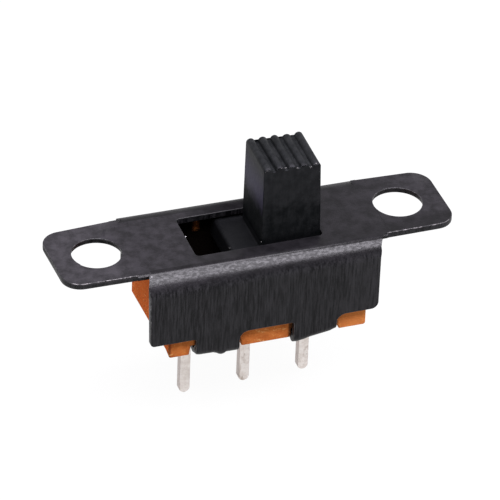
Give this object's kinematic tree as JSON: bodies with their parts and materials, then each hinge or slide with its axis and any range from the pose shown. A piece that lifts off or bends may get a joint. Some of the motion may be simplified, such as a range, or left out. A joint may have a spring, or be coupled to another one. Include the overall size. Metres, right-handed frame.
{
  "type": "slide switch",
  "caption": "Miniature panel slide switch: folded black steel frame with screw ears, orange-brown base, ridged black sliding knob and in-line flat terminals.",
  "frame": {"origin": "midway between the two screw holes, on the outer face of the mounting plate", "axes": "+X along the plate and the slider's travel, towards the end where the knob rests; +Z out of the plate along the knob; the terminals point along -Z"},
  "size_m": [0.0194, 0.0064, 0.013],
  "materials": {
    "frame_steel": "black oxide, satin, with fine drawn lines",
    "base_phenolic": "satin, mottled",
    "terminal_plating": "dull silvery plating on brass",
    "knob_plastic": "fine matt moulding",
    "clip_bronze": "bright spring bronze"
  },
  "bodies": {
    "housing": {"mounting_frame": "frame_steel", "base": "base_phenolic", "terminal_left": "terminal_plating", "terminal_middle": "terminal_plating", "terminal_right": "terminal_plating"},
    "actuator": {"slider": "knob_plastic", "contact_clip": "clip_bronze"}
  },
  "joints": [
    {"name": "slider_travel", "type": "slide", "parent": "housing", "child": "actuator", "axis": [1, 0, 0], "range_m": [-0.0032, 0]}
  ]
}
